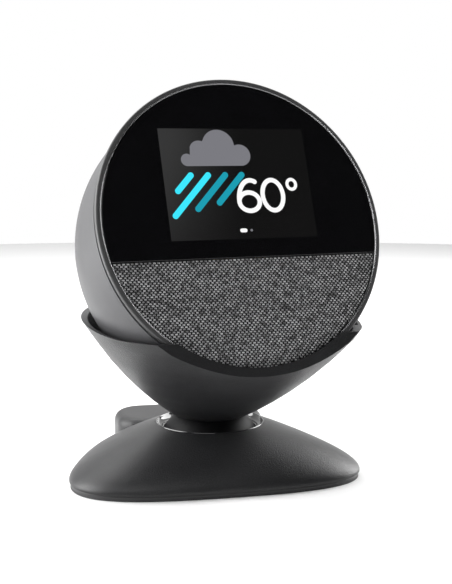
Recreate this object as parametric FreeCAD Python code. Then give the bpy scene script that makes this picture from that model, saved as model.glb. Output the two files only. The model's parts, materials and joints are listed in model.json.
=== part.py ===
import FreeCAD, Part
import math
import os
from FreeCAD import Placement, Rotation, Vector

# Smart display: a round head with a flat face, held in a cup on a neck that tilts
# and swivels over a heavy base. Millimetres, +Z up, the front towards -Y.
# The origin is on the swivel axis, at the level of the table.

# --- driving dimensions -----------------------------------------------------------
REST_SWIVEL = 10.0          # the head's turn on the base at rest, degrees
FACE_TILT = 20.0            # the face's lean back at rest, degrees
FACE_Y, FACE_Z = -33.8, 100.9   # the face's centre, before the head's turn
FACE_R = 55.5               # outside of the rim
GLASS_R = 53.4              # inside of the rim
BODY_R = 56.4               # the round body
BODY_DEPTH = 19.6           # from the face to the ball's centre
BODY_DROP = 3.3             # the ball's centre below the face's axis
WALL = 2.0                  # moulded shells
CLOTH_LINE = -12.9          # the straight border of glass and cloth on the face
LCD_UP = 15.0               # the lit area's centre above the face's centre

FOOT_Z = 40.1               # the flat under the head
COLLAR_Z = 20.5             # the rim of the collar
COLLAR_R = 21.0
PIVOT_Z = 8.0               # the tilt axis
SKIRT_R = 20.5              # the ball-shaped skirt round the tilt axis
WAIST_R, WAIST_Z = 13.9, 23.1
CUP_TOP_Z = 72.0
CUP_LIP_R = 57.8
CUP_SHIFT = -15.3           # the bowl's middle is this far in front of the neck

BASE_WIDE, BASE_TAPER = 52.4, 0.35
BASE_DEEP, BASE_SKEW = 43.0, -0.08
BASE_Y, BASE_POWER = 8.0, 3.2
SHELL_TOP, SHELL_BOTTOM = 20.2, 1.9
FLOOR_Z = 3.0               # top of the base plate
HUB_HALF, HUB_FRONT, HUB_REAR, HUB_TOP = 31.5, 30.0, 62.0, 14.3

os.makedirs("parts", exist_ok=True)


# --- helpers ----------------------------------------------------------------------
def box(x0, x1, y0, y1, z0, z1):
    return Part.makeBox(x1 - x0, y1 - y0, z1 - z0, Vector(x0, y0, z0))


def cyl(radius, z0, z1, x=0.0, y=0.0):
    return Part.makeCylinder(radius, z1 - z0, Vector(x, y, z0))


def ring(outer, inner, z0, z1, x=0.0, y=0.0):
    return cyl(outer, z0, z1, x, y).cut(cyl(inner, z0 - 1, z1 + 1, x, y))


def ball(radius, x, y, z):
    return Part.makeSphere(radius, Vector(x, y, z))


def circle(radius, x, y, z):
    return Part.Wire(Part.makeCircle(radius, Vector(x, y, z), Vector(0, 0, 1)))


def rod_x(radius, x0, x1, y, z):
    return Part.makeCylinder(radius, x1 - x0, Vector(x0, y, z), Vector(1, 0, 0))


def rounded_box(x0, x1, y0, y1, z0, z1, radius):
    block = box(x0, x1, y0, y1, z0, z1)
    upright = [e for e in block.Edges if abs(e.tangentAt(e.FirstParameter).z) > 0.9]
    return block.makeFillet(radius, upright)


def joined(shapes):
    return shapes[0].multiFuse(shapes[1:]) if len(shapes) > 1 else shapes[0]


def group(shapes):
    return Part.makeCompound(shapes)


def turned(shape):
    """From the head's own frame, looking straight ahead, to the row's frame."""
    out = shape.copy()
    out.rotate(Vector(0, 0, 0), Vector(0, 0, 1), REST_SWIVEL)
    return out


def on_face(shape):
    """From the face's frame (Y up the face, Z out of it) to the head's frame."""
    out = shape.copy()
    place = Placement(Vector(0, FACE_Y, FACE_Z), Rotation(Vector(1, 0, 0), 90 - FACE_TILT))
    out.Placement = place.multiply(out.Placement)
    return out


def save(name, shape):
    clean = shape.removeSplitter() if shape.ShapeType != "Compound" or len(shape.Solids) == 1 else shape
    if len(clean.Solids) == 1:
        clean = clean.Solids[0]
    clean.exportStep("parts/%s.step" % name)
    print("%-20s solids %d  valid %s  volume %.1f" % (name, len(clean.Solids), clean.isValid(), clean.Volume))


# --- the head's body, in the head's frame --------------------------------------------
def body_ring(depth, grow):
    """A slice of the body behind the face: round, sliding down to the ball's centre."""
    bend = math.sin(math.pi / 2 * min(depth, BODY_DEPTH) / BODY_DEPTH)
    radius = FACE_R + (BODY_R - FACE_R) * bend + grow
    return circle(radius, 0, -BODY_DROP * bend, -depth)


def body(grow, front, floor):
    """The round body, grown by grow, from depth front back, cut flat at height floor."""
    depths = [front] + [d for d in (6.0, 11.0, 15.5) if d > front] + [BODY_DEPTH]
    nose = Part.makeLoft([body_ring(d, grow) for d in depths], True, True)
    back = ball(BODY_R + grow, 0, -BODY_DROP, -BODY_DEPTH)
    back = back.common(box(-80, 80, -80, 80, -90, -BODY_DEPTH))
    whole = on_face(nose.fuse(back))
    return whole.common(box(-90, 90, -90, 90, floor, 190))


BUTTONS = {"volume_down_button": -17.0, "mute_button": 0.0, "volume_up_button": 17.0}
BUTTON_R, BUTTON_PROUD = 4.6, 0.5


def on_button(shape, angle):
    """A piece drawn up the Z axis from the ball's centre, set at a button's place."""
    out = shape.copy()
    out.rotate(Vector(0, 0, 0), Vector(1, 0, 0), -90)
    out.rotate(Vector(0, 0, 0), Vector(0, 0, 1), -angle)
    out.translate(Vector(0, -BODY_DROP, -BODY_DEPTH))
    return on_face(out)


# --- head ---------------------------------------------------------------------------
RIM_DEEP = 2.0
CONTACTS = (-5.0, 0.0, 5.0)
FOOT_Y = -16.5
BOSSES = [(43.0 * math.cos(math.radians(a)), 43.0 * math.sin(math.radians(a)))
          for a in (12, 168, -22, -158)]


def rear_shell():
    shell = body(0, RIM_DEEP, FOOT_Z).cut(body(-WALL, RIM_DEEP - 1, FOOT_Z + WALL))
    for angle in BUTTONS.values():
        shell = shell.cut(on_button(cyl(BUTTON_R + 0.3, 45, 60), angle))
    for side in (-1, 1):
        shell = shell.cut(on_button(cyl(0.8, 45, 60), side * 8.5))
    for x in CONTACTS:
        shell = shell.cut(cyl(1.6, FOOT_Z - 1, FOOT_Z + WALL + 1, x, FOOT_Y))
    posts = [on_face(cyl(4.0, -26.0, -9.0, x, y)) for x, y in BOSSES]
    reach = [on_face(Part.makeCone(4.0, 12.0, 18.0, Vector(x, y, -26.0), Vector(x, y, -14.0)))
             for x, y in BOSSES]
    ribs = joined(posts + reach).common(body(-WALL / 2, 7.0, FOOT_Z + 1))
    shell = shell.fuse(ribs)
    for x, y in BOSSES:
        shell = shell.cut(on_face(cyl(1.0, -20.0, 0.0, x, y)))
        shell = shell.cut(on_face(cyl(4.2, -9.0, 0.0, x, y)).common(body(-WALL, 0, 0)))
    return shell


def face_disc(radius, z0, z1, low=-90, high=90):
    return cyl(radius, z0, z1).common(box(-90, 90, low, high, z0, z1))


def rim_ring():
    lip = ring(FACE_R, GLASS_R, -RIM_DEEP, 0)
    edge = [e for e in lip.Edges if abs(e.BoundBox.ZMax) < 1e-6 and e.BoundBox.XMax > FACE_R - 0.1]
    lip = lip.makeFillet(0.6, edge)
    skirt = ring(GLASS_R - 0.8, GLASS_R - 2.0, -4.0, -RIM_DEEP)
    ledge = ring(GLASS_R + 1.0, GLASS_R - 2.0, -RIM_DEEP, -1.4)
    return joined([lip, skirt, ledge])


def cover_glass():
    return face_disc(GLASS_R - 0.1, -1.4, -0.15, CLOTH_LINE, 90)


def speaker_cloth():
    return face_disc(GLASS_R - 0.2, -1.2, -0.4, -90, CLOTH_LINE - 0.1)


def grille_frame():
    plate = face_disc(GLASS_R - 2.2, -3.4, -1.45, -90, CLOTH_LINE - 4)
    holes = []
    for row in range(6):
        y = -20.0 - 5.0 * row
        half = math.sqrt(max(0.0, 46.0 ** 2 - y ** 2))
        for k in range(-9, 10):
            x = 5.0 * k + (2.5 if row % 2 else 0.0)
            if abs(x) < half:
                holes.append(cyl(1.7, -4, 0, x, y))
    return plate.cut(group(holes))


def mid_frame():
    plate = cyl(51.8, -7.0, -5.2).cut(cyl(18.6, -8, -4, 0, -31))
    lugs = [cyl(4.0, -9.0, -7.0, x, y) for x, y in BOSSES]
    stands = [cyl(2.5, -11.4, -7.0, 26.0 * sx, LCD_UP + 18.0 * sy) for sx in (-1, 1) for sy in (-1, 1)]
    frame = joined([plate] + lugs + stands)
    frame = frame.cut(box(-12, 12, -12.0, -10.8, -8, -4))
    for x, y in BOSSES:
        frame = frame.cut(cyl(1.2, -10, -4, x, y))
    return frame


def screw(head_r, head_h, shank_r, length, x, y, z):
    """Head down from z, shank on down: a pan-head screw whose tip points to -Z."""
    return cyl(head_r, z, z + head_h, x, y).fuse(cyl(shank_r, z - length, z, x, y))


def frame_screws():
    return group([screw(1.9, 1.1, 0.95, 12.0, x, y, -5.2) for x, y in BOSSES])


def lcd_cell():
    return box(-31.5, 31.5, LCD_UP - 24.5, LCD_UP + 24.5, -2.9, -1.45)


def backlight_unit():
    return box(-31.5, 31.5, LCD_UP - 24.5, LCD_UP + 24.5, -4.9, -2.9)


def display_ribbon():
    front = box(-10, 10, -11.5, LCD_UP - 24.5, -3.2, -2.9)
    middle = box(-10, 10, -11.5, -11.2, -12.8, -2.9)
    back = box(-10, 10, -11.5, -6.0, -12.8, -12.5)
    return joined([front, middle, back])


def main_board():
    return rounded_box(-34, 34, LCD_UP - 22.5, LCD_UP + 22.5, -12.5, -11.4, 3.0)


def shield_can():
    can = box(-16, 16, LCD_UP - 10, LCD_UP + 12, -15.0, -12.5)
    return can.cut(box(-15.7, 15.7, LCD_UP - 9.7, LCD_UP + 11.7, -14.7, -12.5))


def heat_spreader():
    plate = box(-24, 24, LCD_UP - 18, LCD_UP + 18, -16.5, -15.0)
    fins = [box(-24 + 6.0 * k, -22.8 + 6.0 * k, LCD_UP - 18, LCD_UP + 18, -22.0, -16.5) for k in range(8)]
    return joined([plate] + fins)


SPEAKER_Y = -31.0


def speaker_basket():
    flange = ring(19.2, 16.6, -5.2, -4.2, 0, SPEAKER_Y)
    outer = Part.makeCone(18.0, 11.0, 14.0, Vector(0, SPEAKER_Y, -5.2), Vector(0, 0, -1))
    inner = Part.makeCone(16.6, 9.4, 14.0, Vector(0, SPEAKER_Y, -5.2), Vector(0, 0, -1))
    basket = outer.cut(inner)
    windows = [Part.makeBox(30, 9.0, 8.0, Vector(0, -4.5, -16.2)) for _ in range(4)]
    for k, window in enumerate(windows):
        window.rotate(Vector(0, 0, 0), Vector(0, 0, 1), 45 + 90 * k)
        window.translate(Vector(0, SPEAKER_Y, 0))
        basket = basket.cut(window)
    return basket.fuse(flange)


def speaker_cone():
    outer = Part.makeCone(14.2, 5.2, 8.0, Vector(0, SPEAKER_Y, -5.0), Vector(0, 0, -1))
    inner = Part.makeCone(13.8, 4.8, 8.0, Vector(0, SPEAKER_Y, -4.6), Vector(0, 0, -1))
    coil = ring(5.2, 4.6, -18.0, -12.6, 0, SPEAKER_Y)
    cap = ball(8.2, 0, SPEAKER_Y, -17.2).cut(ball(7.8, 0, SPEAKER_Y, -17.2))
    cap = cap.common(cyl(5.8, -12.0, -8.0, 0, SPEAKER_Y))
    return joined([outer.cut(inner), coil, cap])


def speaker_surround():
    roll = Part.makeTorus(15.4, 1.4, Vector(0, SPEAKER_Y, -5.0))
    hollow = Part.makeTorus(15.4, 1.0, Vector(0, SPEAKER_Y, -5.0))
    return roll.cut(hollow).common(cyl(16.6, -5.0, -3.0, 0, SPEAKER_Y))


def speaker_magnet():
    top = ring(10.8, 6.0, -20.7, -19.2, 0, SPEAKER_Y)
    magnet = ring(10.8, 6.2, -27.0, -20.7, 0, SPEAKER_Y)
    back = cyl(10.8, -28.5, -27.0, 0, SPEAKER_Y)
    pole = cyl(4.3, -27.0, -16.0, 0, SPEAKER_Y)
    return joined([top, magnet, back, pole])


def acoustic_chamber():
    space = box(-34, 34, -62, -11.8, -46, -7.2)
    outer = on_face(space).common(body(-WALL - 1.0, 7.2, FOOT_Z + WALL + 2.5))
    inner_space = box(-32.2, 32.2, -62, -13.4, -44.2, -7.0)
    inner = on_face(inner_space).common(body(-WALL - 2.8, 6.8, FOOT_Z + WALL + 4.3))
    chamber = outer.cut(inner)
    for x, y in BOSSES:
        chamber = chamber.cut(on_face(Part.makeCone(12.6, 22.0, 30.0, Vector(x, y, -7), Vector(0, 0, -1))))
    return max(chamber.Solids, key=lambda s: s.Volume)


def button(angle):
    cap = cyl(BUTTON_R, 53.0, 58.0).common(ball(BODY_R + BUTTON_PROUD, 0, 0, 0))
    flange = cyl(5.4, 52.0, 53.2)
    nub = cyl(1.2, 50.2, 52.0)
    return on_button(joined([cap, flange, nub]), angle)


def button_board():
    strips = []
    for angle in BUTTONS.values():
        strips.append(on_button(box(-6.8, 6.8, -4.0, 4.0, 46.6, 47.6), angle))
    return joined(strips)


def tact_switches():
    out = []
    for angle in BUTTONS.values():
        body_block = box(-2.2, 2.2, -2.2, 2.2, 47.6, 49.0)
        out.append(on_button(body_block.fuse(cyl(1.0, 49.0, 49.5)), angle))
    return group(out)


def microphones():
    return group([on_button(cyl(1.6, 52.9, 54.3), side * 8.5) for side in (-1, 1)])


def latch_plate():
    return ring(19.0, 9.0, FOOT_Z + WALL, FOOT_Z + WALL + 1.2, 0, FOOT_Y)


def foot_pad():
    return ring(21.0, 9.5, FOOT_Z - 0.5, FOOT_Z, 0, FOOT_Y)


def contact_pads():
    return group([cyl(1.6, FOOT_Z - 0.3, FOOT_Z + WALL + 0.4, x, FOOT_Y) for x in CONTACTS])


# --- cradle, in the head's frame ------------------------------------------------------
CUP_MID_R, CUP_MID_Z = 39.4, 44.9
CUP_HIGH_R, CUP_HIGH_Z = 49.5, 57.3
FLOOR_Y, FLOOR_R = -15.0, 20.0
CUP_FLOOR = FOOT_Z - 1.0


def cup_arc():
    """The centre and radius of the bowl's side arc, in (radius, height)."""
    points = ((WAIST_R, WAIST_Z), (CUP_MID_R, CUP_MID_Z), (CUP_HIGH_R, CUP_HIGH_Z))
    arc = Part.Arc(*[Vector(r, 0, z) for r, z in points]).toShape().Curve
    return arc.Center.x, arc.Center.z, arc.Radius


ARC_R, ARC_Z, ARC_RADIUS = cup_arc()


def cup_section(z):
    """The bowl's radius and middle at height z: it swells and leans to the front."""
    radius = ARC_R + math.sqrt(ARC_RADIUS ** 2 - (z - ARC_Z) ** 2)
    share = min(1.0, (z - WAIST_Z) / (CUP_HIGH_Z - WAIST_Z))
    return radius, CUP_SHIFT * share ** 0.75


def bowl():
    heights = [WAIST_Z, 24.5, 27.0, 31.0, 36.0, 42.0, 49.0, CUP_HIGH_Z, 64.5, CUP_TOP_Z]
    wires = []
    for z in heights:
        radius, y = cup_section(z)
        wires.append(circle(radius, 0, y, z))
    return Part.makeLoft(wires, True, True)


def top_edge():
    """The space above the cup's edge, which climbs from the front towards the back."""
    low, front, side, high = 61.0, -38.0, -6.0, 67.0
    rise = Part.BezierCurve()
    rise.setPoles([Vector(0, front, low), Vector(0, -24, low), Vector(0, side, high - 2.5),
                   Vector(0, 20, high), Vector(0, 60, high)])
    outline = [Part.makeLine(Vector(0, -90, low), Vector(0, front, low)), rise.toShape(),
               Part.makeLine(Vector(0, 60, high), Vector(0, 90, high)),
               Part.makeLine(Vector(0, 90, high), Vector(0, 90, 120)),
               Part.makeLine(Vector(0, 90, 120), Vector(0, -90, 120)),
               Part.makeLine(Vector(0, -90, 120), Vector(0, -90, low))]
    face = Part.Face(Part.Wire(outline))
    out = face.extrude(Vector(180, 0, 0))
    out.translate(Vector(-90, 0, 0))
    return out


def cradle_cup():
    cup = bowl().cut(on_face(box(-90, 90, -140, 140, 1.1, 120)))
    cup = cup.cut(top_edge())
    cup = cup.cut(body(0.4, 0.0, CUP_FLOOR))
    cup = cup.cut(on_face(cyl(FACE_R + 0.35, -6.0, 0.2)).common(box(-90, 90, -90, 90, CUP_FLOOR, 190)))
    cup = cup.cut(on_face(cyl(GLASS_R - 0.1, -6.0, 6.0)))
    cavity = Part.makeLoft([circle(10.6, 0, 0, 27.0), circle(18.0, 0, -7.5, 36.0)], True, True)
    cup = cup.cut(cavity).cut(cyl(FLOOR_R, 36.0, 50.0, 0, FLOOR_Y))
    cup = cup.cut(cyl(6.2, WAIST_Z - 1, 28.0)).cut(cyl(1.5, WAIST_Z - 1, 28.0, 0, 8.4))
    for x, y in STEM_SCREWS:
        cup = cup.cut(cyl(1.0, WAIST_Z + 0.8, 28.0, x, y))
    return max(cup.Solids, key=lambda s: s.Volume)


STEM_SCREWS = [(7.8 * math.cos(math.radians(a)), 7.8 * math.sin(math.radians(a))) for a in (0, 180, 270)]
MAGNETS = [(14.0 * math.cos(math.radians(a)), FLOOR_Y + 14.0 * math.sin(math.radians(a)))
           for a in (45, 135, 225, 315)]
CONTACT_BLOCK = (-8.5, 8.5, FOOT_Y - 3.5, FOOT_Y + 3.5)


def cradle_floor():
    plate = cyl(FLOOR_R - 0.1, 36.0, CUP_FLOOR, 0, FLOOR_Y)
    for x, y in MAGNETS:
        plate = plate.cut(cyl(4.0, 36.6, 50, x, y))
    return plate.cut(box(*CONTACT_BLOCK, 34.0, 50.0))


def cradle_magnets():
    return group([cyl(4.0, 36.6, CUP_FLOOR, x, y) for x, y in MAGNETS])


def cradle_pad():
    return ring(19.0, 9.5, CUP_FLOOR, FOOT_Z - 0.5, 0, FOOT_Y)


def contact_block():
    block = box(*CONTACT_BLOCK, 34.6, CUP_FLOOR)
    for x in CONTACTS:
        block = block.cut(cyl(0.8, 30.0, 50.0, x, FOOT_Y))
    return block


def spring_contacts():
    return group([cyl(0.8, 33.8, FOOT_Z - 0.3, x, FOOT_Y) for x in CONTACTS])


def neck_skirt():
    shell = ball(SKIRT_R, 0, 0, PIVOT_Z).cut(
        ball(SKIRT_R - 1.6, 0, 0, PIVOT_Z).common(box(-40, 40, -40, 40, -40, 21.3)))
    shell = shell.common(cyl(30, 14.3, WAIST_Z))
    return shell.cut(cyl(6.2, 10, 30)).cut(cyl(1.5, 10, 30, 0, 8.4))


def tilt_stem():
    flange = cyl(10.0, 27.0, 29.0)
    shaft = cyl(6.0, 20.0, 27.0)
    blade = box(-4.4, 4.4, -4.0, 4.0, PIVOT_Z, 20.0)
    eye = rod_x(4.0, -4.4, 4.4, 0, PIVOT_Z)
    stem = joined([flange, shaft, blade, eye]).cut(rod_x(2.05, -9, 9, 0, PIVOT_Z))
    for x, y in STEM_SCREWS:
        stem = stem.cut(cyl(1.2, 26, 30, x, y))
    return stem.cut(cyl(1.5, 26, 30, 0, 8.4))


def stem_screws():
    return group([screw(1.8, 1.1, 0.95, 4.9, x, y, 29.0) for x, y in STEM_SCREWS])


# --- swivel -------------------------------------------------------------------------
TABLE_R = 22.5
TABLE_LOW, TABLE_TOP = FLOOR_Z + 0.3, FLOOR_Z + 2.1


def turntable():
    disc = cyl(TABLE_R, TABLE_LOW, TABLE_TOP).cut(box(-5.2, 5.2, -8, 8, 0, 20))
    ears = []
    for side in (-1, 1):
        x0, x1 = sorted((side * 4.9, side * 8.2))
        ear = box(x0, x1, -4.2, 4.2, TABLE_LOW, PIVOT_Z).fuse(rod_x(4.2, x0, x1, 0, PIVOT_Z))
        ears.append(ear)
    return joined([disc] + ears).cut(rod_x(2.0, -20, 20, 0, PIVOT_Z))


def hinge_pin():
    shaft = rod_x(2.0, -8.2, 8.2, 0, PIVOT_Z)
    return shaft.fuse(rod_x(2.8, 8.2, 9.4, 0, PIVOT_Z)).fuse(rod_x(2.6, -9.0, -8.2, 0, PIVOT_Z))


def friction_washers():
    washers = []
    for x0 in (-4.9, 4.4):
        washers.append(rod_x(3.8, x0, x0 + 0.5, 0, PIVOT_Z).cut(rod_x(2.0, x0 - 1, x0 + 2, 0, PIVOT_Z)))
    return group(washers)


RETAINER_SCREWS = [(25.4 * math.cos(math.radians(a)), 25.4 * math.sin(math.radians(a)))
                   for a in (45, 135, 225, 315)]


def swivel_washer():
    return ring(22.0, 13.0, FLOOR_Z, TABLE_LOW)


def retainer_ring():
    keeper = ring(28.0, 22.8, FLOOR_Z, TABLE_TOP + 0.1)
    lip = ring(28.0, 19.5, TABLE_TOP + 0.1, TABLE_TOP + 1.5)
    out = keeper.fuse(lip)
    for x, y in RETAINER_SCREWS:
        out = out.cut(cyl(1.2, 0, 20, x, y))
    return out


def retainer_screws():
    return group([screw(1.9, 1.1, 1.0, 4.9, x, y, TABLE_TOP + 1.5) for x, y in RETAINER_SCREWS])


# --- base ---------------------------------------------------------------------------
def base_outline(inset, share=1.0, z=0.0, steps=48):
    """A closed curve: share 0 is the collar's circle, share 1 the base's own outline."""
    points = []
    for k in range(steps):
        turn = 2 * math.pi * k / steps
        c, s = math.cos(turn), math.sin(turn)
        wide = BASE_WIDE * (1 - BASE_TAPER * s)
        deep = BASE_DEEP * (1 + BASE_SKEW * s)
        reach = (abs(c / wide) ** BASE_POWER + abs(s / deep) ** BASE_POWER) ** (-1 / BASE_POWER) - inset
        inner = COLLAR_R + 0.4
        x = (1 - share) * inner * c + share * reach * c
        y = (1 - share) * inner * s + share * (BASE_Y + reach * s)
        points.append(Vector(x, y, z))
    curve = Part.BSplineCurve()
    curve.interpolate(points, PeriodicFlag=True)
    return Part.Wire(curve.toShape())


def shell_profile(drop, low):
    """Shares and heights down the base's side: a straight flare, then a rounded edge."""
    steps = [(0.0, SHELL_TOP), (0.45, 14.6), (0.84, 8.9)]
    for k in range(1, 5):
        turn = math.pi / 2 * k / 4
        steps.append((0.84 + 0.16 * math.sin(turn), 3.6 + 5.3 * math.cos(turn)))
    steps = [(share, z - drop) for share, z in steps]
    return steps + [(1.0, low)]


def base_form(inset, drop, low):
    wires = [base_outline(inset, share, z) for share, z in shell_profile(drop, low)]
    return Part.makeLoft(wires, True, True)


def hub_block(inset, low, top):
    block = rounded_box(-HUB_HALF + inset, HUB_HALF - inset, HUB_FRONT, HUB_REAR - inset, low, top, 12.0 - inset)
    return block


BASE_BOSSES = [(-40.0, -16.0), (40.0, -16.0), (-24.0, 33.0), (24.0, 33.0)]


def prism(inset, z0, z1, hub_inset):
    plate = Part.Face(base_outline(inset, 1.0, z0)).extrude(Vector(0, 0, z1 - z0))
    return plate.fuse(hub_block(hub_inset, z0, z1))


def base_shell():
    outer = base_form(0, 0, SHELL_BOTTOM)
    shell = outer.cut(base_form(WALL, WALL + 0.3, SHELL_BOTTOM - 1))
    posts = [cyl(3.0, FLOOR_Z, 18.0, x, y) for x, y in BASE_BOSSES]
    shell = shell.fuse(joined(posts).common(base_form(1, 1, SHELL_BOTTOM)))
    for x, y in BASE_BOSSES:
        shell = shell.cut(cyl(1.0, 0, 6.5, x, y))
    shell = shell.cut(cyl(COLLAR_R + 0.45, SHELL_TOP - 3.5, 30.0))
    inside_hub = hub_block(WALL, -1, HUB_TOP - WALL).common(box(-40, 40, 38, 80, -1, 30))
    return shell.cut(inside_hub)


def port_housing():
    block = hub_block(0, SHELL_BOTTOM, HUB_TOP)
    crown = [e for e in block.Edges if e.BoundBox.ZMin > HUB_TOP - 0.01 and e.BoundBox.YMax > HUB_FRONT + 1]
    block = block.makeFillet(4.0, crown)
    inner = hub_block(WALL, SHELL_BOTTOM - 1, HUB_TOP - WALL)
    block = block.cut(inner).cut(base_form(0, 0, SHELL_BOTTOM - 1)).cut(base_form(0, 0, 0.5))
    block = block.cut(rounded_port(4.6, 1.75, HUB_REAR - 6, HUB_REAR + 2))
    return max(block.Solids, key=lambda s: s.Volume)


PORT_Z = 8.0


def rounded_port(half, radius, y0, y1):
    """A flat-oval bar along Y, as wide as 2*half and 2*radius high."""
    x = half - radius
    middle = box(-x, x, y0, y1, PORT_Z - radius, PORT_Z + radius)
    ends = [Part.makeCylinder(radius, y1 - y0, Vector(sx * x, y0, PORT_Z), Vector(0, 1, 0)) for sx in (-1, 1)]
    return joined([middle] + ends)


def power_inlet():
    can = rounded_port(4.6, 1.75, HUB_REAR - 7.4, HUB_REAR - 0.3)
    can = can.cut(rounded_port(4.3, 1.45, HUB_REAR - 6.9, HUB_REAR + 1))
    tongue = box(-3.3, 3.3, HUB_REAR - 6.9, HUB_REAR - 1.8, PORT_Z - 0.35, PORT_Z + 0.35)
    return can.fuse(tongue)


def power_board():
    return box(-14, 14, HUB_REAR - 20.0, HUB_REAR - 3.0, PORT_Z - 3.0, PORT_Z - 1.8)


def board_posts():
    return [cyl(2.0, FLOOR_Z, PORT_Z - 3.0, 11.0 * side, HUB_REAR - 16.0) for side in (-1, 1)]


def base_plate():
    low = prism(0.5, 1.0, SHELL_BOTTOM, 0.5)
    high = Part.Face(base_outline(WALL + 0.7, 1.0, SHELL_BOTTOM)).extrude(Vector(0, 0, FLOOR_Z - SHELL_BOTTOM))
    tail = hub_block(WALL + 0.2, SHELL_BOTTOM, FLOOR_Z).common(box(-40, 40, 40, 80, 0, 30))
    plate = joined([low, high, tail] + board_posts())
    for x, y in BASE_BOSSES:
        plate = plate.cut(cyl(2.2, 0, 1.9, x, y)).cut(cyl(1.2, 0, 5, x, y))
    for x, y in RETAINER_SCREWS:
        plate = plate.cut(cyl(1.0, 1.4, 5, x, y))
    return plate


def foot_mat():
    return prism(0.5, 0.0, 1.0, 0.5)


def ballast():
    block = Part.Face(base_outline(8.0, 1.0, FLOOR_Z)).extrude(Vector(0, 0, 3.2))
    block = block.cut(cyl(29.0, 0, 20))
    for x, y in BASE_BOSSES:
        block = block.cut(cyl(4.0, 0, 20, x, y))
    block = block.cut(box(-26, 26, 38.0, 80, 0, 30))
    return max(block.Solids, key=lambda s: s.Volume)


def base_screws():
    out = []
    for x, y in BASE_BOSSES:
        out.append(cyl(2.0, 1.1, 1.9, x, y).fuse(cyl(0.95, 1.9, 6.2, x, y)))
    return group(out)


def collar_dish():
    clear = SKIRT_R + 0.35
    low, mouth = 14.4, 17.9
    ring_r = math.sqrt(clear ** 2 - (mouth - PIVOT_Z) ** 2)
    profile = Part.makePolygon([Vector(r, 0, z) for r, z in (
        (ring_r, mouth), (ring_r + 1.2, mouth + 0.35), (COLLAR_R - 0.5, COLLAR_Z - 1.0),
        (COLLAR_R, COLLAR_Z), (COLLAR_R + 0.4, COLLAR_Z), (COLLAR_R + 0.4, SHELL_TOP - 3.2),
        (COLLAR_R + 0.4, low), (ring_r - 0.5, low), (ring_r - 0.5, mouth), (ring_r, mouth))])
    solid = Part.Face(profile).revolve(Vector(0, 0, 0), Vector(0, 0, 1), 360)
    return solid.cut(ball(clear, 0, 0, PIVOT_Z))


# --- write every piece ------------------------------------------------------------------
FACE_PIECES = [rim_ring, cover_glass, speaker_cloth, grille_frame, mid_frame, frame_screws, lcd_cell,
               backlight_unit, display_ribbon, main_board, shield_can, heat_spreader, speaker_basket,
               speaker_cone, speaker_surround, speaker_magnet]
HEAD_PIECES = [rear_shell, acoustic_chamber, button_board, tact_switches, microphones, latch_plate,
               foot_pad, contact_pads, cradle_cup, cradle_floor, cradle_magnets, cradle_pad,
               contact_block, spring_contacts, neck_skirt, tilt_stem, stem_screws, turntable,
               hinge_pin, friction_washers]
BASE_PIECES = [swivel_washer, retainer_ring, retainer_screws, base_shell, port_housing, power_inlet,
               power_board, base_plate, foot_mat, ballast, base_screws, collar_dish]

for make in FACE_PIECES:
    save(make.__name__, turned(on_face(make())))
for make in HEAD_PIECES:
    save(make.__name__, turned(make()))
for name, angle in BUTTONS.items():
    save(name, turned(button(angle)))
for make in BASE_PIECES:
    save(make.__name__, make())
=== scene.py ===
import json
import math

import bmesh
import bpy
from bpy.props import FloatProperty, FloatVectorProperty, IntProperty, PointerProperty
from bpy.types import Operator, Panel, PropertyGroup
from mathutils import Matrix, Vector


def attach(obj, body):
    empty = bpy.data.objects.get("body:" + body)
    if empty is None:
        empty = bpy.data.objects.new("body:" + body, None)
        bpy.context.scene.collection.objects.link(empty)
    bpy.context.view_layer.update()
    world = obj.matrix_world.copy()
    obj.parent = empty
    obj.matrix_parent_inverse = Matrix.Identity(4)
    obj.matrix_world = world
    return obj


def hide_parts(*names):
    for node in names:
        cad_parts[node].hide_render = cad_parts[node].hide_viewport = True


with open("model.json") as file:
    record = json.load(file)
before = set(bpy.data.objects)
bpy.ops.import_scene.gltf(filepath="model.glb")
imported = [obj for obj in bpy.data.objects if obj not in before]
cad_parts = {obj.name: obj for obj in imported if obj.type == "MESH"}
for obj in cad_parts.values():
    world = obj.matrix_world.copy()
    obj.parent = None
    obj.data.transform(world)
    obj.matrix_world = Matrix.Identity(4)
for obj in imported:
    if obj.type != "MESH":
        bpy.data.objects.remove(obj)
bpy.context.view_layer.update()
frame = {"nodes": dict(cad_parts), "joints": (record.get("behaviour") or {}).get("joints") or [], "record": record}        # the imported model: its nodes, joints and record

bl_info = {
    "name": "Round Smart Display",
    "version": (1, 0, 0),
    "blender": (4, 5, 0),
    "location": "View3D > Sidebar > Display",
    "description": "Builds the shells, screen, cloth and stand of a smart display round its fixed frame",
    "category": "Object",
}

MM = 0.001


def joint(name):
    return next(j for j in frame["joints"] if j["name"] == name)


TILT_AXIS = Vector(joint("neck_tilt")["axis"])
TILT_HEIGHT = joint("neck_tilt")["pos_m"][2]
HEAD_TURN = math.atan2(-TILT_AXIS.y, -TILT_AXIS.x)


# --- sizes and colours a user would change -------------------------------------------
def size(name, default, description):
    """A length property; the default is in millimetres."""
    return FloatProperty(name=name, description=description, default=default * MM, precision=5, unit="LENGTH")


def turn(name, default, description):
    """An angle property; the default is in degrees."""
    return FloatProperty(name=name, description=description, default=math.radians(default), subtype="ANGLE")


def colour(name, default, description):
    return FloatVectorProperty(name=name, description=description, default=default, subtype="COLOR",
                               size=3, min=0.0, max=1.0)


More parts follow.
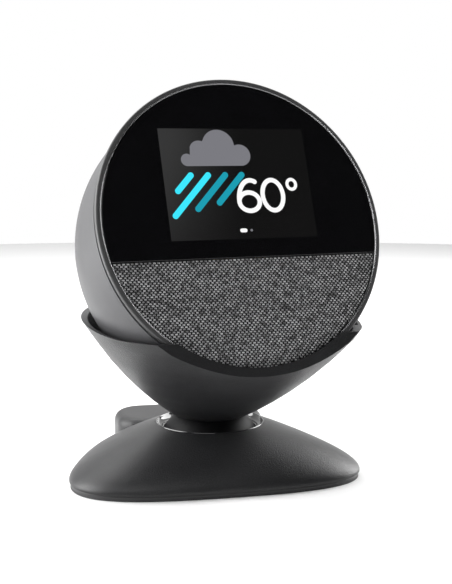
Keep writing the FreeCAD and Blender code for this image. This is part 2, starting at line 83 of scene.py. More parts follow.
class HeadSizes(PropertyGroup):
    """The round body, its rim and its glass."""
    tilt: turn("Face tilt", 20, "How far the face leans back at rest")
    face_forward: size("Face forward", 33.8, "The face's centre in front of the swivel axis")
    face_height: size("Face height", 100.9, "The face's centre above the table")
    face_radius: size("Rim radius", 55.5, "Outside of the rim")
    glass_radius: size("Glass radius", 53.4, "Inside of the rim")
    body_radius: size("Body radius", 56.4, "The round body")
    body_depth: size("Body depth", 19.6, "From the face to the ball's centre")
    body_drop: size("Body drop", 3.3, "The ball's centre below the face's axis")
    wall: size("Wall", 2.0, "Thickness of the moulded shells")
    rim_depth: size("Rim depth", 2.0, "From the face back to the body's front edge")
    cloth_line: size("Cloth line", 12.9, "The border of glass and cloth below the face's centre")
    glass_sink: size("Glass sink", 0.15, "The glass below the rim's front")
    rim_back: size("Rim back", 4.0, "How far the rim's inner wall reaches behind its front")
    bead_radius: size("Bead radius", 0.24, "The fine bead in the rim's inner edge")
    glass_back: size("Glass back", 1.4, "The back of the glass behind the rim's front")
    glass_round: size("Glass edge", 0.28, "The rounded edge of the glass")
    foot_height: size("Foot height", 40.1, "The flat under the body, above the table")
    foot_round: size("Foot rounding", 1.2, "The rounded edge of the flat under the body")
    button_radius: size("Button radius", 4.6, "A top button's cap")
    button_proud: size("Button height", 0.5, "A top button above the body")
    button_gap: size("Button gap", 0.3, "Between a button and the hole it moves in")
    button_turn: turn("Button spacing", 17, "Angle between two top buttons")
    microphone_radius: size("Microphone hole", 0.8, "Radius of a microphone hole")
    microphone_turn: turn("Microphone angle", 8.5, "A microphone hole's angle from the middle button")


class ScreenSizes(PropertyGroup):
    """The lit area and the symbols on it."""
    lit_width: size("Lit width", 57.5, "Width of the lit area")
    lit_height: size("Lit height", 42.0, "Height of the lit area")
    lit_up: size("Lit area up", 15.0, "The lit area's centre above the face's centre")
    stroke: size("Rain stroke", 2.3, "Width of a rain stroke")
    figure_stroke: size("Figure stroke", 1.75, "Width of a figure's stroke")
    figure_width: size("Figure width", 8.2, "Width of a figure, between the middles of its strokes")
    figure_height: size("Figure height", 11.6, "Height of a figure, between the middles of its strokes")


class ClothSizes(PropertyGroup):
    """The woven speaker cloth."""
    pitch: size("Yarn pitch", 0.8, "From one yarn to the next")
    half_width: size("Yarn half width", 0.29, "Half a yarn's width")
    half_height: size("Yarn half height", 0.15, "Half a yarn's height")
    wave: size("Wave", 0.17, "How far a yarn rises and falls as it crosses the others")
    middle: size("Cloth level", 0.62, "The middle of the weave below the rim's front")
    steps: IntProperty(name="Steps", description="Pieces of yarn from one crossing to the next", default=4)


class StandSizes(PropertyGroup):
    """The cradle's gap, the neck, the collar and the base."""
    gap_width: size("Cradle gap", 2.3, "Between the body and the cradle's thin upper wall")
    gap_front: size("Cradle gap front", 36, "Where the gap starts, in front of the swivel axis")
    gap_low: size("Cradle gap bottom", 50, "Height of the gap's floor")
    skirt_radius: size("Skirt radius", 20.5, "The ball-shaped skirt round the tilt axis")
    skirt_wall: size("Skirt wall", 1.6, "Thickness of the skirt")
    skirt_low: size("Skirt bottom", 14.3, "Height of the skirt's lower edge")
    waist_height: size("Waist height", 23.1, "Height of the narrowest point of the neck")
    collar_radius: size("Collar radius", 21.0, "The collar's rim")
    collar_height: size("Collar height", 20.5, "The collar's rim above the table")
    collar_gap: size("Collar gap", 0.35, "Between the skirt and the collar")
    collar_wall: size("Collar wall", 0.4, "From the collar's rim out to the base shell")
    base_half_width: size("Base half width", 52.4, "Half the width in the middle of the base")
    base_half_depth: size("Base half depth", 43.0, "Half the base from front to back")
    base_back: size("Base centre", 8.0, "The outline's centre behind the swivel axis")
    base_taper: FloatProperty(name="Base taper", description="How much narrower the base is at the back",
                              default=0.35)
    base_skew: FloatProperty(name="Base skew", default=0.08,
                             description="How much longer the front half is than the rear")
    base_power: FloatProperty(name="Base corners", description="2 is an ellipse, more is squarer", default=3.2)
    shell_top: size("Shell top", 20.2, "Height of the base shell at the collar")
    shell_bottom: size("Shell bottom", 1.9, "Height of the base shell's lower edge")
    shell_wall: size("Shell wall", 1.8, "Thickness of the base shell")


class Finishes(PropertyGroup):
    """Colours of the parts that show."""
    head: colour("Head", (0.055, 0.055, 0.058), "The body's moulded shell")
    rim: colour("Rim", (0.050, 0.050, 0.051), "The ring round the face")
    bead: colour("Bead", (0.42, 0.42, 0.43), "The polished bead in the rim")
    glass: colour("Glass", (0.0025, 0.0025, 0.003), "The black-backed cover glass")
    stand: colour("Stand", (0.0115, 0.0115, 0.0125), "The grainy cradle and base")
    skirt: colour("Skirt", (0.003, 0.003, 0.0035), "The matt skirt of the neck")
    collar: colour("Collar", (0.012, 0.012, 0.013), "The glossy collar")
    foot: colour("Foot", (0.020, 0.020, 0.021), "The rubber foot")
    under_plate: colour("Under plate", (0.022, 0.022, 0.023), "The plate under the base")
    button_mark: colour("Button mark", (0.30, 0.30, 0.31), "The raised marks on the buttons")
    light_yarn: colour("Light yarn", (0.31, 0.31, 0.315), "The melange yarn of the cloth")
    dark_yarn: colour("Dark yarn", (0.006, 0.006, 0.0065), "The black yarn of the cloth")
    backing: colour("Cloth backing", (0.004, 0.004, 0.004), "The thin black sheet behind the yarns")
    cloud: colour("Cloud", (0.195, 0.195, 0.216), "The weather symbol's cloud")
    rain_near: colour("Near rain", (0.045, 0.80, 1.0), "The bright rain strokes")
    rain_far: colour("Far rain", (0.010, 0.335, 0.44), "The dim rain strokes")
    figures: colour("Figures", (1.0, 1.0, 1.0), "The temperature figures")


GROUPS = {"head_sizes": HeadSizes, "screen_sizes": ScreenSizes, "cloth_sizes": ClothSizes,
          "stand_sizes": StandSizes, "display_finishes": Finishes}


# --- places -----------------------------------------------------------------------------
def head_place():
    return Matrix.Rotation(HEAD_TURN, 4, "Z")


def face_place(sizes):
    """The face's frame: X to the right, Y up the face, Z out of it."""
    middle = Matrix.Translation((0, -sizes.face_forward, sizes.face_height))
    return head_place() @ middle @ Matrix.Rotation(math.pi / 2 - sizes.tilt, 4, "X")


def button_place(sizes, angle):
    """Z runs out of the ball's centre through a button at that angle round the top."""
    centre = Matrix.Translation((0, -sizes.body_drop, -sizes.body_depth))
    return (face_place(sizes) @ centre @ Matrix.Rotation(-angle, 4, "Z")
            @ Matrix.Rotation(-math.pi / 2, 4, "X"))


# --- mesh helpers -------------------------------------------------------------------------
MERGE_DISTANCE = 2e-6            # closer points of a frame mesh are one corner
FLAT_LIMIT = math.radians(0.6)   # faces that meet at less than this are one flat face
ROUND_STEPS = 256                # sides of the rim, the glass and the cloth's edge


def clean(bm):
    bmesh.ops.remove_doubles(bm, verts=bm.verts, dist=1e-7)
    bmesh.ops.recalc_face_normals(bm, faces=bm.faces)
    return bm


def spun(profile, steps=160, ring=False):
    """A surface of revolution about Z through (radius, height) points; ring joins last to first."""
    bm = bmesh.new()
    points = [bm.verts.new((radius, 0, height)) for radius, height in profile]
    pairs = list(zip(points, points[1:])) + ([(points[-1], points[0])] if ring else [])
    edges = [bm.edges.new(pair) for pair in pairs]
    bmesh.ops.spin(bm, geom=points + edges, cent=(0, 0, 0), axis=(0, 0, 1), angle=math.tau, steps=steps,
                   use_merge=True)
    return clean(bm)


def arc(centre, radius, start, end, steps):
    """Points on an arc in (radius, height), angles in degrees."""
    out = []
    for k in range(steps + 1):
        angle = math.radians(start + (end - start) * k / steps)
        out.append((centre[0] + radius * math.cos(angle), centre[1] + radius * math.sin(angle)))
    return out


def sliced(bm, point, normal):
    """Cuts the mesh at a plane, keeps the side the normal points to, and returns the closing faces."""
    cut = bmesh.ops.bisect_plane(bm, geom=bm.verts[:] + bm.edges[:] + bm.faces[:], dist=1e-7,
                                 plane_co=point, plane_no=normal, clear_inner=True)
    edges = [e for e in cut["geom_cut"] if isinstance(e, bmesh.types.BMEdge)]
    faces = bmesh.ops.contextual_create(bm, geom=edges)["faces"]
    bmesh.ops.recalc_face_normals(bm, faces=bm.faces)
    return faces


def drum(radius, low, high, segments=64):
    """A closed upright cylinder between two heights."""
    bm = bmesh.new()
    bmesh.ops.create_cone(bm, cap_ends=True, segments=segments, radius1=radius, radius2=radius,
                          depth=high - low)
    bmesh.ops.translate(bm, verts=bm.verts, vec=(0, 0, (high + low) / 2))
    return bm


def moved(bm, place):
    bmesh.ops.transform(bm, matrix=place, verts=bm.verts)
    return bm


def round_edges(bm, edges, width, segments=4):
    bmesh.ops.bevel(bm, geom=edges, offset=width, offset_type="OFFSET", affect="EDGES",
                    segments=segments, profile=0.5, material=-1, clamp_overlap=True)


def to_mesh(bm, name):
    mesh = bpy.data.meshes.new(name)
    bm.to_mesh(mesh)
    bm.free()
    return mesh


def joined(parts):
    """Several meshes as one."""
    whole = bmesh.new()
    for part in parts:
        mesh = to_mesh(part, "part")
        whole.from_mesh(mesh)
        bpy.data.meshes.remove(mesh)
    return whole


def cut_away(context, bm, cutter):
    """The mesh with the cutter's space taken from it."""
    whole, tool = [bpy.data.objects.new("work", to_mesh(part, "work")) for part in (bm, cutter)]
    for obj in (whole, tool):
        context.scene.collection.objects.link(obj)
    step = whole.modifiers.new("step", "BOOLEAN")
    step.operation, step.solver, step.object = "DIFFERENCE", "EXACT", tool
    result = bpy.data.meshes.new_from_object(whole.evaluated_get(context.evaluated_depsgraph_get()))
    out = bmesh.new()
    out.from_mesh(result)
    for obj in (whole, tool):
        bpy.data.objects.remove(obj)
    bpy.data.meshes.remove(result)
    return out


def node_copy(name):
    """A merged copy of a CAD node's mesh, its flat faces whole again."""
    bm = bmesh.new()
    bm.from_mesh(frame["nodes"][name].data)
    bmesh.ops.remove_doubles(bm, verts=bm.verts, dist=MERGE_DISTANCE)
    bmesh.ops.dissolve_limit(bm, angle_limit=FLAT_LIMIT, verts=bm.verts, edges=bm.edges)
    return bm


def piece(context, name, bm, body, material, replaced=(), sharp=32):
    """Makes the finished object: smooth but for its sharp edges, riding on its body."""
    limit = math.radians(sharp)
    for face in bm.faces:
        face.smooth = True
    for edge in bm.edges:
        edge.smooth = not (edge.is_manifold and edge.calc_face_angle() > limit)
    obj = bpy.data.objects.new(name, to_mesh(bm, name))
    obj.data.materials.append(material)
    context.scene.collection.objects.link(obj)
    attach(obj, body)
    if replaced:
        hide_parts(*replaced)
    return obj


# --- materials -------------------------------------------------------------------------------
def add(tree, kind, **values):
    """A shader node with its input sockets set by name; spaces are written as underscores."""
    made = tree.nodes.new("ShaderNode" + kind)
    for key, value in values.items():
        made.inputs[key.replace("_", " ")].default_value = value
    return made


def plain(name, tint, roughness, metallic=0.0, specular=0.5):
    """A new material with its shader's even values set; the patterns are added to it."""
    material = bpy.data.materials.get(name)
    if material:
        bpy.data.materials.remove(material)
    material = bpy.data.materials.new(name)
    material.use_nodes = True
    shader = material.node_tree.nodes["Principled BSDF"]
    shader.inputs["Base Color"].default_value = (*tint, 1.0)
    shader.inputs["Roughness"].default_value = roughness
    shader.inputs["Metallic"].default_value = metallic
    shader.inputs["Specular IOR Level"].default_value = specular
    material.diffuse_color = (*tint, 1.0)
    return material, material.node_tree, shader


def shade_range(tree, factor, tint, low, high):
    """A colour between low and high times the tint, by a factor socket."""
    ramp = tree.nodes.new("ShaderNodeValToRGB")
    for stop, share in zip(ramp.color_ramp.elements, (low, high)):
        stop.color = (*[min(1.0, c * share) for c in tint], 1.0)
    ramp.color_ramp.elements[0].position, ramp.color_ramp.elements[1].position = 0.3, 0.7
    tree.links.new(factor, ramp.inputs["Fac"])
    return ramp.outputs["Color"]


def spread(tree, factor, low, high):
    """A number between low and high by a factor socket."""
    out = add(tree, "MapRange", From_Min=0.3, From_Max=0.7, To_Min=low, To_Max=high)
    tree.links.new(factor, out.inputs["Value"])
    return out.outputs["Result"]


def noise(tree, grain, detail=2.0, stretch=None):
    """Noise on object coordinates whose features are about grain metres wide."""
    place = tree.nodes.new("ShaderNodeTexCoord").outputs["Object"]
    if stretch:
        mapping = add(tree, "Mapping", Scale=stretch)
        tree.links.new(place, mapping.inputs["Vector"])
        place = mapping.outputs["Vector"]
    texture = add(tree, "TexNoise", Scale=1.0 / grain, Detail=detail, Roughness=0.55)
    tree.links.new(place, texture.inputs["Vector"])
    return texture.outputs["Fac"]


def bump(tree, shader, height, strength, depth):
    out = add(tree, "Bump", Strength=strength, Distance=depth)
    tree.links.new(height, out.inputs["Height"])
    tree.links.new(out.outputs["Normal"], shader.inputs["Normal"])


def moulded(name, tint, roughness, grain=0.5 * MM, depth=0.03 * MM, contrast=0.12, specular=0.5):
    """Moulded plastic: fine grain in the surface, slow drift of tone and gloss across it."""
    material, tree, shader = plain(name, tint, roughness, specular=specular)
    fine, slow = noise(tree, grain, 3.0), noise(tree, 22 * MM)
    tree.links.new(shade_range(tree, fine, tint, 1 - contrast, 1 + contrast), shader.inputs["Base Color"])
    tree.links.new(spread(tree, slow, roughness - 0.04, roughness + 0.04), shader.inputs["Roughness"])
    bump(tree, shader, fine, 0.8, depth)
    return material


def brushed(name, tint, roughness, stretch=(1, 1, 12)):
    """Turned or rolled metal: fine lines one way, with small changes of gloss."""
    material, tree, shader = plain(name, tint, roughness, metallic=1.0)
    lines = noise(tree, 0.9 * MM, 3.0, stretch)
    tree.links.new(shade_range(tree, lines, tint, 0.86, 1.08), shader.inputs["Base Color"])
    tree.links.new(spread(tree, lines, roughness - 0.07, roughness + 0.09), shader.inputs["Roughness"])
    bump(tree, shader, lines, 0.3, 0.02 * MM)
    return material


def laminate(name, tint):
    """A printed board: glass-cloth lines under a lacquer, with paler lands."""
    material, tree, shader = plain(name, tint, 0.4)
    place = tree.nodes.new("ShaderNodeTexCoord").outputs["Object"]
    cells = add(tree, "TexVoronoi", Scale=420.0)
    cells.distance = "CHEBYCHEV"
    tree.links.new(place, cells.inputs["Vector"])
    tree.links.new(shade_range(tree, cells.outputs["Distance"], tint, 0.7, 1.7), shader.inputs["Base Color"])
    bump(tree, shader, cells.outputs["Distance"], 0.4, 0.04 * MM)
    shader.inputs["Coat Weight"].default_value = 0.4
    return material


def coarse(name, tint):
    """A matt, uneven surface: pressed paper pulp or rough cast iron."""
    material, tree, shader = plain(name, tint, 0.9, specular=0.2)
    lumps = noise(tree, 0.8 * MM, 6.0)
    tree.links.new(shade_range(tree, lumps, tint, 0.6, 1.5), shader.inputs["Base Color"])
    bump(tree, shader, lumps, 0.9, 0.08 * MM)
    return material


def polished_glass(name, tint):
    """Black-backed glass with faint traces of handling in its gloss."""
    material, tree, shader = plain(name, tint, 0.07)
    traces = noise(tree, 9 * MM, 5.0)
    tree.links.new(shade_range(tree, traces, tint, 0.9, 1.15), shader.inputs["Base Color"])
    tree.links.new(spread(tree, traces, 0.05, 0.11), shader.inputs["Roughness"])
    return material


def yarn(name, tint, low, high):
    """Twisted yarn: tone varies from fibre to fibre and from stretch to stretch."""
    material, tree, shader = plain(name, tint, 0.85, specular=0.25)
    fibres, stretch = noise(tree, 0.22 * MM, 3.0), noise(tree, 1.7 * MM, 2.0)
    both = add(tree, "Math")
    both.operation = "MULTIPLY"
    tree.links.new(fibres, both.inputs[0])
    tree.links.new(stretch, both.inputs[1])
    doubled = add(tree, "MapRange", From_Min=0.05, From_Max=0.45)
    tree.links.new(both.outputs["Value"], doubled.inputs["Value"])
    tree.links.new(shade_range(tree, doubled.outputs["Result"], tint, low, high), shader.inputs["Base Color"])
    bump(tree, shader, fibres, 0.6, 0.05 * MM)
    shader.inputs["Sheen Weight"].default_value = 0.25
    shader.inputs["Sheen Roughness"].default_value = 0.4
    return material


def lit(name, tint):
    """A lit part of the panel: the picture's colour, with the panel's fine dot grid in it."""
    material, tree, shader = plain(name, (0.003, 0.003, 0.003), 0.1)
    place = tree.nodes.new("ShaderNodeTexCoord").outputs["UV"]
    dots = add(tree, "TexChecker", Scale=1.0 / (0.12 * MM))
    tree.links.new(place, dots.inputs["Vector"])
    tree.links.new(shade_range(tree, dots.outputs["Fac"], tint, 0.96, 1.04), shader.inputs["Emission Color"])
    shader.inputs["Emission Strength"].default_value = 1.0
    return material


def painted_glow_panel(name, bright, dark):
    """The unlit picture area: a painted glow, brightest at its upper left corner and falling off across it."""
    material, tree, shader = plain(name, (0.003, 0.003, 0.003), 0.1)
    parts = tree.nodes.new("ShaderNodeSeparateXYZ")
    tree.links.new(tree.nodes.new("ShaderNodeTexCoord").outputs["UV"], parts.inputs["Vector"])
    across = add(tree, "MapRange", From_Min=-0.030, From_Max=0.004, To_Min=1.0, To_Max=0.0)
    tree.links.new(parts.outputs["X"], across.inputs["Value"])
    down = add(tree, "MapRange", From_Min=-0.016, From_Max=0.030, To_Min=0.3, To_Max=1.0)
    tree.links.new(parts.outputs["Y"], down.inputs["Value"])
    glow = add(tree, "Math")
    glow.operation = "MULTIPLY"
    tree.links.new(across.outputs["Result"], glow.inputs[0])
    tree.links.new(down.outputs["Result"], glow.inputs[1])
    ramp = tree.nodes.new("ShaderNodeValToRGB")
    for stop, tint in zip(ramp.color_ramp.elements, (dark, bright)):
        stop.color = (tint, tint, tint * 1.01, 1.0)
    ramp.color_ramp.interpolation = "EASE"
    tree.links.new(glow.outputs["Value"], ramp.inputs["Fac"])
    tree.links.new(ramp.outputs["Color"], shader.inputs["Emission Color"])
    shader.inputs["Emission Strength"].default_value = 1.0
    return material


# --- the head ---------------------------------------------------------------------------------
HOLE_FROM, HOLE_TO = 48 * MM, 60 * MM     # a hole's cutter, from the ball's centre


def body_skin(sizes):
    """The outside of the body in the face's frame: a drum that drops into a ball."""
    nose_steps, ball_steps = 10, 34
    profile = []
    for k in range(nose_steps):
        depth = sizes.rim_depth + (sizes.body_depth - sizes.rim_depth) * k / nose_steps
        bend = math.sin(math.pi / 2 * depth / sizes.body_depth)
        profile.append((sizes.face_radius + (sizes.body_radius - sizes.face_radius) * bend, -depth))
    profile += arc((0, -sizes.body_depth), sizes.body_radius, 0, -90, ball_steps)
    bm = spun(profile, steps=192)
    for vert in bm.verts:
        bend = math.sin(math.pi / 2 * min(-vert.co.z, sizes.body_depth) / sizes.body_depth)
        vert.co.y -= sizes.body_drop * bend
    return bm


def body_shell(context, sizes):
    bm = moved(body_skin(sizes), face_place(sizes))
    foot = sliced(bm, (0, 0, sizes.foot_height), (0, 0, 1))
    round_edges(bm, [e for f in foot for e in f.edges], sizes.foot_round)
    bmesh.ops.solidify(bm, geom=bm.faces[:], thickness=sizes.wall)
    bmesh.ops.recalc_face_normals(bm, faces=bm.faces)
    holes = []
    for k in (-1, 0, 1):
        hole = drum(sizes.button_radius + sizes.button_gap, HOLE_FROM, HOLE_TO)
        holes.append(moved(hole, button_place(sizes, k * sizes.button_turn)))
    for side in (-1, 1):
        hole = drum(sizes.microphone_radius, HOLE_FROM, HOLE_TO, 24)
        holes.append(moved(hole, button_place(sizes, side * sizes.microphone_turn)))
    return cut_away(context, bm, joined(holes))


class DISPLAY_OT_body(Operator):
    """Builds the head's round moulded shell, with its button and microphone holes"""
    bl_idname = "smart_display.body"
    bl_label = "Body Shell"

    def execute(self, context):
        tint = context.scene.display_finishes.head
        finish = moulded("head_plastic_finish", tint, 0.5, grain=0.35 * MM, depth=0.008 * MM, contrast=0.06)
        bm = body_shell(context, context.scene.head_sizes)
        piece(context, "body_shell", bm, "head", finish, ["rear_shell"])
        return {"FINISHED"}


def rim_profile(sizes):
    """The ring's section: a flat front, a rounded outer edge and a step for the bead inside."""
    outer, inner, deep = sizes.face_radius, sizes.glass_radius, sizes.rim_depth
    corner, chamfer, step = 0.6 * MM, 0.25 * MM, 0.5 * MM
    wall, shelf = inner - 0.8 * MM, inner - 2 * MM
    section = [(shelf, -sizes.rim_back), (wall, -sizes.rim_back), (wall, -deep)]
    section += [(outer - chamfer, -deep), (outer, -deep + chamfer)]
    section += arc((outer - corner, -corner), corner, 0, 90, 8)
    return section + [(inner + step, 0), (inner + step, -step), (inner, -step),
                      (inner, -sizes.glass_back), (shelf, -sizes.glass_back)]


def bead_profile(sizes):
    """A fine polished wire let into the ring's inner edge."""
    radius, sink = sizes.bead_radius, 0.2 * MM
    return arc((sizes.glass_radius + radius, -sink), radius, 0, 360, 12)[:-1]


def segment_disc(radius, low, high, line, above):
    """A disc between two heights, cut along a line across it; above keeps the upper side."""
    bm = drum(radius, low, high, ROUND_STEPS)
    sliced(bm, (0, line, 0), (0, 1 if above else -1, 0))
    return bm


GLASS_GAP = 0.1 * MM      # between the glass and the rim


class DISPLAY_OT_front(Operator):
    """Builds the rim, its polished bead and the black cover glass"""
    bl_idname = "smart_display.front"
    bl_label = "Rim and Glass"

    def execute(self, context):
        sizes, finishes = context.scene.head_sizes, context.scene.display_finishes
        place = face_place(sizes)
        satin = moulded("rim_finish", finishes.rim, 0.36, grain=0.3 * MM, depth=0.004 * MM, contrast=0.06)
        ring = moved(spun(rim_profile(sizes), ROUND_STEPS, ring=True), place)
        piece(context, "rim", ring, "head", satin, ["rim_ring"])
        polish = brushed("bead_finish", finishes.bead, 0.16, (3, 3, 3))
        bead = moved(spun(bead_profile(sizes), ROUND_STEPS, ring=True), place)
        piece(context, "rim_bead", bead, "head", polish)
        glass = segment_disc(sizes.glass_radius - GLASS_GAP, -sizes.glass_back, -sizes.glass_sink,
                             -sizes.cloth_line, True)
        corner = math.radians(60)
        edges = [e for e in glass.edges if e.is_manifold and e.calc_face_angle() > corner]
        round_edges(glass, edges, sizes.glass_round)
        gloss = polished_glass("cover_glass_finish", finishes.glass)
        piece(context, "glass", moved(glass, place), "head", gloss, ["cover_glass"])
        return {"FINISHED"}


# --- the picture on the screen ------------------------------------------------------------
PICTURE_THICK = 0.02 * MM
PANEL_UP = 0.03 * MM                                # the lit area above the glass
RAIN_LEVEL, FIGURE_LEVEL = -0.09 * MM, -0.06 * MM   # the symbols' faces below the rim's front
# The drawing, in millimetres right of and above the face's centre.
NEAR_RAIN = [((-18.3, 18.2), (-23.9, 12.4)), ((-11.6, 18.2), (-26.0, 3.2))]
FAR_RAIN = [((-4.9, 18.2), (-17.1, 5.6)), ((1.6, 18.2), (-8.5, 7.8))]
CLOUD_PUFFS = [(-18.9, 24.05, 2.35), (-13.7, 27.6, 3.8), (-6.0, 29.3, 6.3), (2.1, 25.8, 4.1)]
SIX_AT, NOUGHT_AT = (3.3, 10.25), (13.0, 10.25)
DEGREE_AT, DEGREE_RADII = (21.15, 14.3), (1.75, 1.9)
PAGE_MARK, PAGE_DOT = [(-1.3, -2.85), (0.1, -2.85)], [(2.45, -2.85), (2.55, -2.85)]
MARK_HALF, DOT_HALF = 0.72 * MM, 0.45 * MM


def in_metres(points):
    return [tuple(v * MM for v in point) for point in points]


def strip(columns, top):
    """A thin flat plate through pairs of points, with its upper face at height top."""
    bm = bmesh.new()
    bmesh.ops.create_grid(bm, x_segments=len(columns) - 1, y_segments=1, size=1.0)
    order = sorted(bm.verts, key=lambda v: (round(v.co.x, 5), v.co.y))
    for k, (low, high) in enumerate(columns):
        order[2 * k].co = (*low, top)
        order[2 * k + 1].co = (*high, top)
    bmesh.ops.remove_doubles(bm, verts=bm.verts, dist=1e-6)
    bmesh.ops.recalc_face_normals(bm, faces=bm.faces)
    if bm.faces[:][0].normal.z < 0:
        bmesh.ops.reverse_faces(bm, faces=bm.faces[:])
    bmesh.ops.solidify(bm, geom=bm.faces[:], thickness=PICTURE_THICK)
    bmesh.ops.recalc_face_normals(bm, faces=bm.faces)
    highest = max(v.co.z for v in bm.verts)
    bmesh.ops.translate(bm, verts=bm.verts, vec=(0, 0, top - highest))
    layer = bm.loops.layers.uv.new("UVMap")
    for face in bm.faces:
        for loop in face.loops:
            loop[layer].uv = loop.vert.co.xy
    return bm


def ribbon(points, half, top, closed=False):
    """A band of even width along the points, with round ends unless it is closed."""
    line = [Vector(p) for p in points]
    count, cap = len(line), 8
    columns = []
    for k, here in enumerate(line):
        before = line[k - 1] if k or closed else here
        after = line[(k + 1) % count] if k < count - 1 or closed else here
        along = (after - before).normalized()
        side = Vector((-along.y, along.x)) * half
        columns.append((here - side, here + side))
    if closed:
        return strip(columns + columns[:1], top)
    ends = []
    for here, there in ((line[0], line[1]), (line[-1], line[-2])):
        out = (here - there).normalized()
        side = Vector((-out.y, out.x)) * half
        turn_by = [math.pi / 2 * (k + 1) / cap for k in range(cap)]
        tip = [(here + out * half * math.sin(a) - side * math.cos(a),
                here + out * half * math.sin(a) + side * math.cos(a)) for a in turn_by]
        ends.append(tip)
    first = [(high, low) for low, high in reversed(ends[0])]
    return strip(first + columns + ends[1], top)


def ellipse(centre, across, up, start=0, end=360, steps=48):
    out = []
    for k in range(steps + 1):
        angle = math.radians(start + (end - start) * k / steps)
        out.append((centre[0] + across * math.cos(angle), centre[1] + up * math.sin(angle)))
    return out


def cloud_columns(steps=88):
    """A cloud's lower and upper edge, from four round puffs standing on one level."""
    puffs = in_metres(CLOUD_PUFFS)
    level = puffs[0][1] - puffs[0][2]
    left, right = puffs[0][0] - puffs[0][2], puffs[-1][0] + puffs[-1][2]
    columns = []
    for k in range(steps + 1):
        x = (left + right) / 2 - (right - left) / 2 * math.cos(math.pi * k / steps)
        tops = [cy + math.sqrt(r * r - (x - cx) ** 2) for cx, cy, r in puffs if abs(x - cx) <= r]
        top, low = max(tops, default=puffs[0][1]), level
        for (cx, cy, r), outside in ((puffs[0], x < puffs[0][0]), (puffs[-1], x > puffs[-1][0])):
            if outside:
                low = cy - math.sqrt(max(0.0, r * r - (x - cx) ** 2))
        columns.append(((x, low), (x, max(top, low + 1e-6))))
    return columns


def figure_six(centre, half_width, half_height):
    """A six: a round bowl, and a stem that sweeps up from its left side."""
    bowl_up = half_height * 0.60
    bowl = (centre[0], centre[1] - half_height + bowl_up)
    stem = ellipse((centre[0] + half_width * 0.28, bowl[1]), half_width * 1.28,
                   centre[1] + half_height - bowl[1], 180, 68, 28)
    return ellipse(bowl, half_width, bowl_up, 0, 360, 56)[:-1], stem


def picture_parts(screen):
    """Every symbol: its name, its finish's name and its meshes, in the face's frame."""
    rain_half, figure_half = screen.stroke / 2, screen.figure_stroke / 2
    wide, tall = screen.figure_width / 2, screen.figure_height / 2
    near, far = [joined([ribbon(in_metres(line), rain_half, RAIN_LEVEL) for line in lines])
                 for lines in (NEAR_RAIN, FAR_RAIN)]
    six_at, nought_at, degree_at, degree_radii = in_metres((SIX_AT, NOUGHT_AT, DEGREE_AT, DEGREE_RADII))
    bowl, stem = figure_six(six_at, wide * 0.98, tall)
    figures = [ribbon(bowl, figure_half, FIGURE_LEVEL, True),
               ribbon(stem, figure_half, FIGURE_LEVEL),
               ribbon(ellipse(nought_at, wide, tall, 0, 360, 64)[:-1], figure_half, FIGURE_LEVEL, True)]
    degree = ellipse(degree_at, *degree_radii, 0, 360, 40)[:-1]
    return [
        ("cloud_symbol", "cloud", strip(cloud_columns(), RAIN_LEVEL)),
        ("near_rain_symbol", "rain_near", near),
        ("far_rain_symbol", "rain_far", far),
        ("temperature_figures", "figures", joined(figures)),
        ("degree_ring", "figures", ribbon(degree, figure_half * 0.72, FIGURE_LEVEL, True)),
        ("page_mark", "figures", ribbon(in_metres(PAGE_MARK), MARK_HALF, FIGURE_LEVEL)),
        ("page_dot", "cloud", ribbon(in_metres(PAGE_DOT), DOT_HALF, FIGURE_LEVEL)),
    ]


class DISPLAY_OT_picture(Operator):
    """Builds the lit area and the plain weather symbols on it"""
    bl_idname = "smart_display.picture"
    bl_label = "Screen Picture"

    def execute(self, context):
        sizes, screen = context.scene.head_sizes, context.scene.screen_sizes
        finishes, place = context.scene.display_finishes, face_place(context.scene.head_sizes)
        half, low = screen.lit_width / 2, screen.lit_up - screen.lit_height / 2
        high, steps = screen.lit_up + screen.lit_height / 2, 12
        columns = []
        for k in range(steps + 1):
            x = -half + 2 * half * k / steps
            columns.append(((x, low), (x, high)))
        # the lit area's dark ground gets a painted glow, brighter towards its upper left
        panel = painted_glow_panel("lit_area_finish", 0.036, 0.0035)
        area = moved(strip(columns, -sizes.glass_sink + PANEL_UP), place)
        piece(context, "lit_area", area, "head", panel)
        made = {}
        for name, finish, bm in picture_parts(screen):
            if finish not in made:
                made[finish] = lit(finish + "_light", getattr(finishes, finish))
            piece(context, name, moved(bm, place), "head", made[finish])
        return {"FINISHED"}


# --- the cloth -----------------------------------------------------------------------------
YARN_SIDES = 4
TUCK, TUCK_REACH = 0.25 * MM, 1.0 * MM      # how far the yarns dive at the cloth's edge, and over what width
CLOTH_GAP, LINE_GAP = 0.25 * MM, 0.15 * MM  # from the cloth to the rim, and to the glass
BACKING_LOW, BACKING_HIGH = -1.2 * MM, -0.98 * MM


def yarn_span(offset, radius, line, across):
    """Where a yarn starts and ends: across runs left to right, the others up the face."""
    reach = math.sqrt(max(0.0, radius * radius - offset * offset))
    if across:
        return (-reach, reach) if offset < line else (0.0, 0.0)
    return -reach, min(line, reach)


